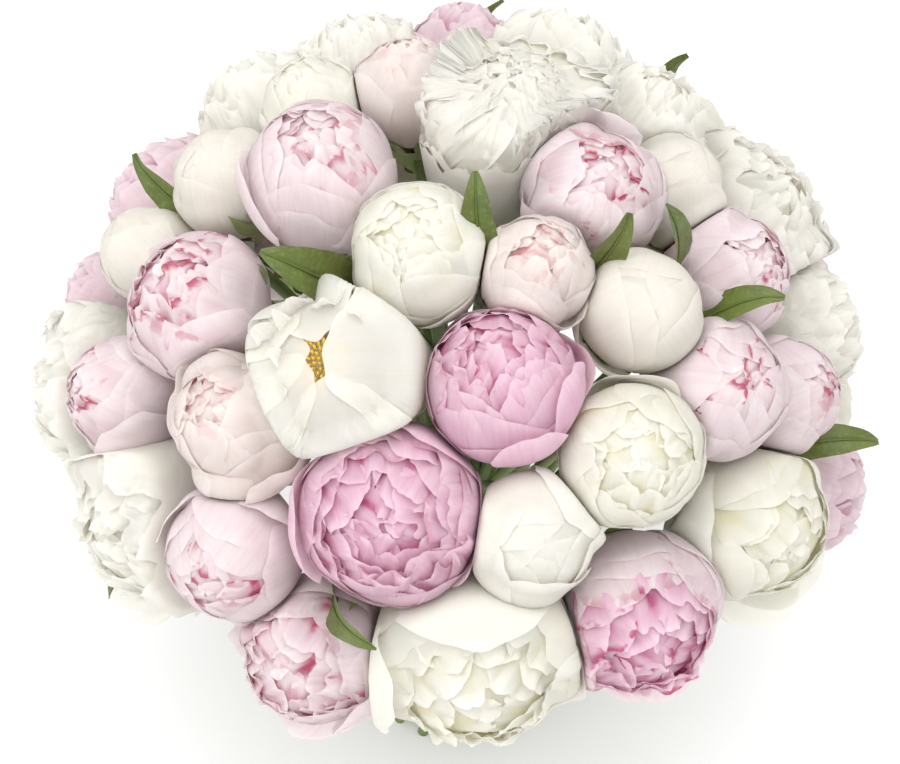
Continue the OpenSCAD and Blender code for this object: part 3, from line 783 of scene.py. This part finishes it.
class Skeleton:
    """Rings of points along each loose part of a CAD node that is a loft of equal rings."""

    def __init__(self, node, sides):
        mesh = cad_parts[node].data
        co = np.array([tuple(v.co) for v in mesh.vertices])
        keys, back = np.unique(np.round(co * 1e6).astype(int), axis=0, return_inverse=True)
        back = np.asarray(back).ravel()
        self.points = keys / 1e6
        links = [set() for _ in keys]
        for face in mesh.polygons:
            ids = [back[i] for i in face.vertices]
            for i in range(len(ids)):
                links[ids[i]].add(ids[i - 1])
                links[ids[i - 1]].add(ids[i])
        self.links = links
        left = set(range(len(keys)))
        self.parts = []
        while left:
            todo = [left.pop()]
            part = []
            while todo:
                i = todo.pop()
                part.append(i)
                for j in links[i]:
                    if j in left:
                        left.remove(j)
                        todo.append(j)
            self.parts.append(part)
        self.sides = sides

    def rings(self, part, key):
        """Rings from the one with the lowest key on, as a list of (sides, 3) arrays."""
        layer = sorted(part, key=lambda i: key(self.points[i]))[:self.sides]
        seen = set(layer)
        result = []
        while layer:
            result.append(self.points[list(layer)])
            nearby = {j for i in layer for j in self.links[i]} - seen
            seen |= nearby
            layer = sorted(nearby)
        return [ring for ring in result if len(ring) == self.sides]


# ---------------------------------------------------------------- stems
STEM_SIDES = 8
STEM_STEPS = 46


def make_stems(material):
    for number, node in enumerate(("stems_inner", "stems_middle", "stems_outer")):
        rng = rng_for(200 + number)
        sheets = Sheets()
        skeleton = Skeleton(node, STEM_SIDES)
        for part in sorted(skeleton.parts, key=lambda ids: tuple(skeleton.points[ids[0]])):
            rings = skeleton.rings(part, lambda p: p[2])
            middles = np.array([ring.mean(axis=0) for ring in rings])
            radius = np.linalg.norm(rings[0] - middles[0], axis=1).max()
            path = along(middles, STEM_STEPS)
            thick = radius * np.full(STEM_STEPS, 0.985)
            # stems thicken a little where a leaf was stripped off
            for at in rng.uniform(0.08, 0.9, 2):
                thick += radius * 0.05 * np.exp(-((np.linspace(0, 1, STEM_STEPS) - at) / 0.012) ** 2)
            tube(sheets, path, thick, 12, tone=rng.uniform(0, 1), ribs=0.018)
        sheets.build(node + "_green", material, node, "stem", on_floor)


# ---------------------------------------------------------------- leaves
def blade(sheets, rng, path, across, half, up, wide, fold, tone):
    """A leaf blade along path with its midrib, arching sides, wavy rim and pointed tip."""
    nv, nu = len(path), 15
    u = np.linspace(-1, 1, nu)[None, :, None]
    v = np.linspace(0, 1, nv)[:, None, None]
    normal = np.cross(across, np.gradient(path, axis=0))
    normal /= np.linalg.norm(normal, axis=1)[:, None]
    if (normal * up).sum() < 0:
        normal = -normal
    phase = rng.uniform(0, TAU, 3)
    w = (half * wide)[:, None, None]
    side = across[:, None] * u * w
    rise = normal[:, None] * (w * (fold * np.abs(u) ** 1.3 - 0.10 * np.exp(-(u / 0.10) ** 2))
                              + w * 0.10 * np.sin(9 * v + phase[0] + 2 * u) * np.abs(u) ** 2
                              + w * 0.02 * np.cos(46 * v - 9 * np.abs(u)) * np.abs(u))
    points = path[:, None] + side + rise
    v2 = v[..., 0] + 0 * u[..., 0]
    u2 = u[..., 0] + 0 * v[..., 0]
    shade = np.stack([v2, np.abs(u2), 0 * v2, tone + 0 * v2], axis=-1)
    sheets.grid(points, shade, np.stack([u2 * 0.5 + 0.5, v2], axis=-1))


LEAF_SIDES = 6
LEAF_STEPS = 44
# A blade's half width is raised to this power, which rounds its outline
LEAF_FULLNESS = 0.75
# Each group of leaves: width against its CAD blade and how far the sides fold up
LEAVES = (("upper_leaves", 1.85, 0.22), ("rim_leaves", 1.3, 0.16))


def make_leaves(material):
    for node, wide, fold in LEAVES:
        rng = rng_for(230 + len(node))
        sheets = Sheets()
        skeleton = Skeleton(node, LEAF_SIDES)
        for part in sorted(skeleton.parts, key=lambda ids: tuple(skeleton.points[ids[0]])):
            rings = skeleton.rings(part, lambda p: float(np.linalg.norm(p - DOME_CENTRE)))
            middles = np.array([ring.mean(axis=0) for ring in rings])
            spans = []
            for ring, middle in zip(rings, middles):
                far = ring[np.argmax(np.linalg.norm(ring - middle, axis=1))] - middle
                spans.append(far if not spans or far @ spans[-1] > 0 else -far)
            spans = np.array(spans)
            path = along(middles, LEAF_STEPS)
            t = np.linspace(0, 1, LEAF_STEPS)
            at = np.linspace(0, 1, len(rings))
            half = np.interp(t, at, np.linalg.norm(spans, axis=1))
            half = half.max() * (half / half.max()) ** LEAF_FULLNESS
            across = np.stack([np.interp(t, at, spans[:, i]) for i in range(3)], axis=1)
            across /= np.linalg.norm(across, axis=1)[:, None]
            start = int(np.argmax(half > 1.15 * half[0])) - 1
            start = max(1, min(start, 30))
            across[:start + 2] = across[start + 2]
            tone = rng.uniform(0, 1)
            blade(sheets, rng, path[start:], across[start:], half[start:], path.mean(axis=0) - DOME_CENTRE,
                  wide, fold, tone)
            rib = np.concatenate([np.full(start, half[0]), np.linspace(half[0], 0.0003, LEAF_STEPS - start)])
            tube(sheets, path, rib * 0.85, 8, tone=tone)
        sheets.build(node + "_green", material, node, "leaf")


# ---------------------------------------------------------------- sepals under the heads
# Blown heads, whose sepals are short and stand off
WIDE_OPEN = (9, 51)


def make_sepals(heads, material):
    sheets = Sheets()
    turn = np.linspace(0, TAU, 24, endpoint=False)
    for head in heads:
        rng = rng_for(300 + head.number)
        first_grid = len(sheets.points)
        seat = head.seat_r
        # the swollen end of the stem, then five sepals, three rounded and two narrow
        outline = [(0.0032, -0.0062), (0.0052, -0.0046), (seat * 0.8, -0.0012), (seat * 1.06, 0.0004)]
        profile = along([(a, b - head.low) for a, b in outline], 10)
        points = np.stack([profile[:, :1] * np.cos(turn), profile[:, :1] * np.sin(turn),
                           profile[:, 1:] + 0 * turn], axis=-1)
        v = np.linspace(0, 0.4, 10)[:, None] + 0 * turn
        sheets.grid(points, np.stack([v, 0 * v, 0 * v, 0.5 + 0 * v], axis=-1),
                    np.stack([turn / TAU + 0 * v, v], axis=-1), closed=True)
        first = rng.uniform(0, TAU)
        for k in range(5):
            narrow = k in (1, 3)
            reach = rng.uniform(0.34, 0.44) if narrow else rng.uniform(0.22, 0.30)
            loose_fit = 1.02
            if head.number in WIDE_OPEN:
                reach *= 0.35
                loose_fit = 1.17
            outline = head.shell(0.0, reach, loose_fit, 14) + [0.0010, -0.0004]
            half = 0.0048 if narrow else 0.0098
            shape = [0.75, 0.9, 0.9, 0.7, 0.45, 0.15] if narrow else [0.8, 1.0, 1.1, 1.05, 0.85, 0.5]
            petal(sheets, rng, outline, half * np.array(shape), first + TAU * k / 5 + rng.uniform(-0.1, 0.1),
                  round_tip=0.3, twist=0.03, curl=rng.uniform(0.0, 0.5), curl_from=0.6, ruffle=0.03,
                  waves=1.5, tone=rng.uniform(0, 1), nu=9, nv=13)
        sheets.move(first_grid, lambda p: head.fill(p @ head.basis.T + head.centre, 1.0))
    sheets.build("sepals", material, "calyces", "sepal")


# ---------------------------------------------------------------- stamens of the blown head
# Height of the stamens against the tuft in the frame, and their number
STAMEN_REACH = 0.38
STAMENS = 90


def make_stamens(heads, material):
    sheets = Sheets()
    head = next(head for head in heads if head.kind == "loose")
    rng = rng_for(400)
    co = np.array([tuple(v.co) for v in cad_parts["stamens"].data.vertices])
    height = (co - head.centre) @ head.axis
    foot = head.centre + head.axis * height.min()
    tall = STAMEN_REACH * (height.max() - height.min())
    wide = np.linalg.norm(co - foot - ((co - foot) @ head.axis)[:, None] * head.axis, axis=1).max()
    for k in range(STAMENS):
        f = math.sqrt((k + 0.5) / STAMENS)
        a = k * GOLDEN_ANGLE
        out = (head.basis[:, 0] * math.cos(a) + head.basis[:, 1] * math.sin(a)) * wide * f
        rise = tall * (0.55 + 0.45 * math.cos(f * 1.4)) * rng.uniform(0.8, 1)
        top = foot + out * 0.96 + head.axis * rise
        knee = foot + out * 0.75 + head.axis * tall * 0.35
        tube(sheets, along([foot + out * 0.3, knee, top], 7), 0.00028, 5, tone=0.0, caps=False)
        way = unit(top - knee)
        tube(sheets, along([top - way * 0.0006, top + way * 0.0010, top + way * 0.0026], 6),
             np.array([0.3, 0.7, 0.75, 0.7, 0.6, 0.2]) / 1e3, 6, tone=1.0)
    sheets.build("stamens_yellow", material, "stamens", "stamen")


# ---------------------------------------------------------------- twine
def strands(sheets, path, thick, twists, rng):
    """Three strands twisted round a path: closed where the path is closed."""
    ways = np.gradient(path, axis=0)
    ways /= np.linalg.norm(ways, axis=1)[:, None]
    one = np.cross(ways, [0.02, 0.03, 1.0])
    one /= np.linalg.norm(one, axis=1)[:, None]
    two = np.cross(ways, one)
    t = np.linspace(0, TAU * twists, len(path))
    for k in range(3):
        a = (t + TAU * k / 3)[:, None]
        tube(sheets, path + (one * np.cos(a) + two * np.sin(a)) * thick * 0.27, thick * 0.25, 8,
             tone=rng.uniform(0, 1))


def make_twine(material):
    rng = rng_for(500)
    sheets = Sheets()
    skeleton = Skeleton("binding_twine", 8)
    for part in skeleton.parts:
        co = skeleton.points[part]
        middle = (co.max(axis=0) + co.min(axis=0)) / 2
        out = np.linalg.norm(co[:, :2] - middle[:2], axis=1)
        ring = (out.max() + out.min()) / 2
        thick = co[:, 2].max() - co[:, 2].min()
        a = np.linspace(0, TAU, 241) + rng.uniform(0, TAU)
        path = np.stack([middle[0] + ring * np.cos(a), middle[1] + ring * np.sin(a),
                         middle[2] + thick * 0.04 * np.sin(3 * a)], axis=1)
        strands(sheets, path, thick, 34, rng)
    sheets.build("binding_twine_strands", material, "binding_twine", "twine")
    low, high = (np.array(corner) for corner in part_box("twine_knot"))
    middle, size = (low + high) / 2, high - low
    knot = Sheets()
    thick = size[1] * 0.45
    a = np.linspace(0, TAU * 1.5, 90)
    coil = np.stack([middle[0] + size[0] * 0.34 * np.sin(a / 1.5), middle[1] + size[1] * 0.27 * np.cos(a * 2),
                     middle[2] + size[2] * 0.27 * np.sin(a * 2)], axis=1)
    strands(knot, coil, thick, 12, rng)
    for side in (-1, 1):
        path = along([middle, middle + [side * size[0] * 0.4, -size[1] * 0.25, -size[2] * 0.2],
                      middle + [side * size[0] * 0.9, -size[1] * 0.2, -size[2] * 0.9],
                      middle + [side * size[0] * 1.1, 0.0, -size[2] * 1.9]], 40)
        strands(knot, path, thick, 5, rng)
    knot.build("twine_knot_strands", material, "twine_knot", "twine")


# ---------------------------------------------------------------- materials of the green parts and the twine
def green_material(name, body, light, dark, blush, rough, veins, blush_share, cut=None, through=0.0):
    """Stem, leaf or sepal: patches, veins and a blush, with a pale cut end or light coming through."""
    body, light, dark, blush = (linear(*colour) for colour in (body, light, dark, blush))
    n = Nodes(name)
    way, edge, flecks, tone = n.shade()
    here = n.here()
    patch = n.noise(here, 60.0, 3.0, 0.55)
    grain = n.noise(here, 1400.0, 2.0, 0.5)
    ribs = n.noise(n.stretched(*veins), 1.0, 3.0, 0.5)
    colour = n.mix(n.ramp(tone, 0.0, 1.0), body, n.mix(0.5, body, light))
    colour = n.mix(n.math("MULTIPLY", n.ramp(patch, 0.40, 0.70), 0.55), colour, dark)
    colour = n.mix(n.math("MULTIPLY", n.ramp(ribs, 0.50, 0.72), 0.40), colour, light)
    flush = n.ramp(n.noise(here, 24.0, 2.0, 0.5), 0.55, 0.68)
    colour = n.mix(n.math("MULTIPLY", flush, blush_share), colour, blush)
    if cut:
        colour = n.mix(n.ramp(edge, 0.5, 0.9), colour, linear(*cut))
    height = n.math("ADD", n.math("MULTIPLY", ribs, 0.8), n.math("MULTIPLY", grain, 0.3))
    bump = n.bump(height, 0.4, 0.0006)
    shader = n.add("ShaderNodeBsdfPrincipled", {"Base Color": colour, "Roughness": rough, "Normal": bump,
                   "Specular IOR Level": 0.45})
    surface = shader.outputs[0]
    if through:
        glow = n.add("ShaderNodeBsdfTranslucent", {"Color": colour, "Normal": bump})
        surface = n.add("ShaderNodeMixShader", {0: through, 1: surface, 2: glow.outputs[0]}).outputs[0]
    n.put(n.out, "Surface", surface)
    return n.material


def twine_material():
    n = Nodes("twine_jute")
    tone = n.shade()[3]
    fibres = n.noise(n.stretched(9.0, 160.0), 1.0, 4.0, 0.65)
    patch = n.noise(n.here(), 140.0, 3.0, 0.6)
    colour = n.mix(n.ramp(fibres, 0.35, 0.70), linear(150, 118, 78), linear(206, 178, 132))
    colour = n.mix(n.math("MULTIPLY", n.ramp(patch, 0.40, 0.72), 0.5), colour, linear(128, 98, 62))
    colour = n.mix(n.math("MULTIPLY", tone, 0.25), colour, linear(214, 190, 148))
    shader = n.add("ShaderNodeBsdfPrincipled", {"Base Color": colour, "Roughness": 0.85, "Sheen Weight": 0.3,
                   "Normal": n.bump(fibres, 0.8, 0.0004)})
    n.put(n.out, "Surface", shader.outputs[0])
    return n.material


def stamen_material():
    n = Nodes("stamen_yellow")
    tone = n.shade()[3]
    pollen = n.noise(n.here(), 2600.0, 2.0, 0.6)
    colour = n.mix(n.ramp(tone, 0.3, 0.7), linear(236, 228, 170), linear(226, 186, 74))
    colour = n.mix(n.math("MULTIPLY", n.ramp(pollen, 0.45, 0.65), 0.4), colour, linear(190, 142, 50))
    shader = n.add("ShaderNodeBsdfPrincipled", {"Base Color": colour, "Roughness": 0.75,
                   "Normal": n.bump(pollen, 0.5, 0.0002)})
    n.put(n.out, "Surface", shader.outputs[0])
    return n.material


# ---------------------------------------------------------------- camera, light and floor
def area_light(name, location, size, power):
    light = bpy.data.lights.new(name, "AREA")
    light.shape = "DISK"
    light.size = size
    light.energy = power
    lamp = bpy.data.objects.new(name, light)
    bpy.context.scene.collection.objects.link(lamp)
    lamp.location = location
    lamp.rotation_euler = (Vector(DOME_CENTRE) - Vector(location)).to_track_quat("-Z", "Y").to_euler()


def make_stage():
    bpy.ops.mesh.primitive_plane_add(size=14.0, location=(0, 0, 0))
    floor = bpy.context.object
    floor.name = "floor"
    n = Nodes("floor_white")
    shader = n.add("ShaderNodeBsdfPrincipled", {"Base Color": (0.96, 0.96, 0.96), "Roughness": 0.9})
    n.put(n.out, "Surface", shader.outputs[0])
    floor.data.materials.append(n.material)
    world = bpy.data.worlds.new("soft_white")
    bpy.context.scene.world = world
    world.use_nodes = True
    background = world.node_tree.nodes["Background"].inputs
    background["Color"].default_value = (1.0, 1.0, 1.0, 1.0)
    background["Strength"].default_value = 1.0
    bpy.context.scene.view_settings.view_transform = "Standard"
    area_light("key", (0.20, -0.30, 1.9), 1.9, 17.0)
    area_light("fill", (-1.0, -0.9, 1.3), 1.6, 9.0)


def make_camera():
    data = bpy.data.cameras.new("camera")
    data.lens = LENS_MM
    data.sensor_width = 36.0
    data.shift_x, data.shift_y = VIEW_SHIFT
    camera = bpy.data.objects.new("camera", data)
    bpy.context.scene.collection.objects.link(camera)
    e = math.radians(VIEW_ELEVATION)
    camera.location = Vector(DOME_CENTRE) + VIEW_DISTANCE * Vector((0, -math.cos(e), math.sin(e)))
    camera.rotation_euler = (math.pi / 2 - e, 0, 0)
    bpy.context.scene.camera = camera


make_camera()
make_stage()
all_heads = make_heads()
make_stems(green_material("stem_green", (112, 134, 74), (158, 176, 112), (78, 100, 50), (136, 96, 72), 0.48,
                          (26.0, 3.0), 0.35, cut=(206, 214, 164)))
make_leaves(green_material("leaf_green", (84, 100, 42), (134, 146, 76), (52, 66, 26), (96, 76, 44), 0.42,
                           (7.0, 30.0), 0.25, through=0.12))
make_sepals(all_heads, green_material("sepal_green", (138, 156, 92), (176, 186, 122), (96, 118, 60),
                                      (168, 84, 88), 0.55, (9.0, 2.0), 0.5))
make_stamens(all_heads, stamen_material())
make_twine(twine_material())
